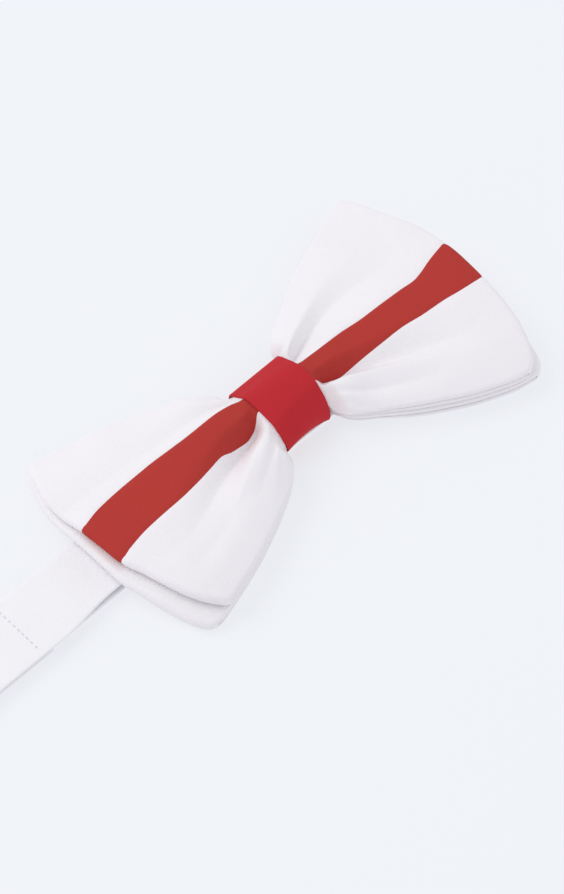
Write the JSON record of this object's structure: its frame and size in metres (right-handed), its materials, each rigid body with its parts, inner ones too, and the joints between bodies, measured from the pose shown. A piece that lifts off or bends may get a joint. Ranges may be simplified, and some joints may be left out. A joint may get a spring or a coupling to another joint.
{
  "type": "bow tie",
  "caption": "Pre-tied bow tie: two folded cloth tiers cinched by a knot wrap, on an adjustable neckband with slider, hook and eye.",
  "frame": {"origin": "under the middle of the knot, on the underside of the long half of the neckband", "axes": "+X along the bow away from the hook, +Y across the bow, +Z out of the bow's front"},
  "size_m": [0.268, 0.0704, 0.0146],
  "materials": {
    "white_cloth": "matt cotton poplin",
    "facing_cloth": "matt cotton poplin",
    "interlining": "brushed canvas",
    "stripe_cloth": "matt cotton poplin",
    "knot_cloth": "matt cotton poplin",
    "strap_cloth": "pressed cotton poplin",
    "white_thread": "spun sewing thread",
    "knot_thread": "spun sewing thread",
    "nickel": "nickel plated, satin bright"
  },
  "bodies": {
    "bow": {"back_bow_shell": "white_cloth", "back_bow_interlining": "interlining", "back_bow_facing": "facing_cloth", "front_bow_bottom_panel": "white_cloth", "front_bow_stripe": "stripe_cloth", "front_bow_top_panel": "white_cloth", "front_bow_interlining": "interlining", "front_bow_facing": "facing_cloth", "waist_thread": "white_thread", "knot_interlining": "interlining", "knot_wrap": "knot_cloth", "knot_stitches": "knot_thread", "neckband_centre": "strap_cloth"},
    "short_half": {"short_strap": "strap_cloth", "short_strap_stitches": "white_thread"},
    "eye": {"neckband_eye": "nickel"},
    "long_half": {"long_strap_fold": "strap_cloth", "long_strap": "strap_cloth"},
    "hook_loop": {"long_strap_reach": "strap_cloth", "strap_turn": "strap_cloth"},
    "slider": {"slider": "nickel", "slider_loop": "strap_cloth", "slider_loop_stitches": "white_thread", "long_strap_return": "strap_cloth"},
    "hook": {"hook": "nickel"}
  },
  "joints": [
    {"name": "short_half_bend", "type": "hinge", "parent": "bow", "child": "short_half", "pos_m": [-0.06615, 0, 0.0031], "axis": [0, 1, 0], "range_deg": [0, 80]},
    {"name": "eye_swing", "type": "hinge", "parent": "short_half", "child": "eye", "pos_m": [-0.1168, 0, 0.003], "axis": [0, 1, 0], "range_deg": [0, 110]},
    {"name": "long_half_fold", "type": "hinge", "parent": "bow", "child": "long_half", "pos_m": [0.04415, 0, 0.00155], "axis": [0, -1, 0], "range_deg": [0, 180], "deforming": ["long_strap_fold"]},
    {"name": "slider_slide", "type": "slide", "parent": "long_half", "child": "slider", "axis": [-1, 0, 0], "range_m": [0, 0.032], "deforming": ["long_strap_return"]},
    {"name": "hook_travel", "type": "slide", "parent": "long_half", "child": "hook_loop", "axis": [-1, 0, 0], "range_m": [0, 0.016], "deforming": ["long_strap_reach"]},
    {"name": "hook_swing", "type": "hinge", "parent": "hook_loop", "child": "hook", "pos_m": [-0.188, 0, 0.0018], "axis": [0, 1, 0], "range_deg": [-90, 90]}
  ],
  "couplings": [
    {"joint": "hook_travel", "follows": "slider_slide", "ratio": 0.5}
  ]
}
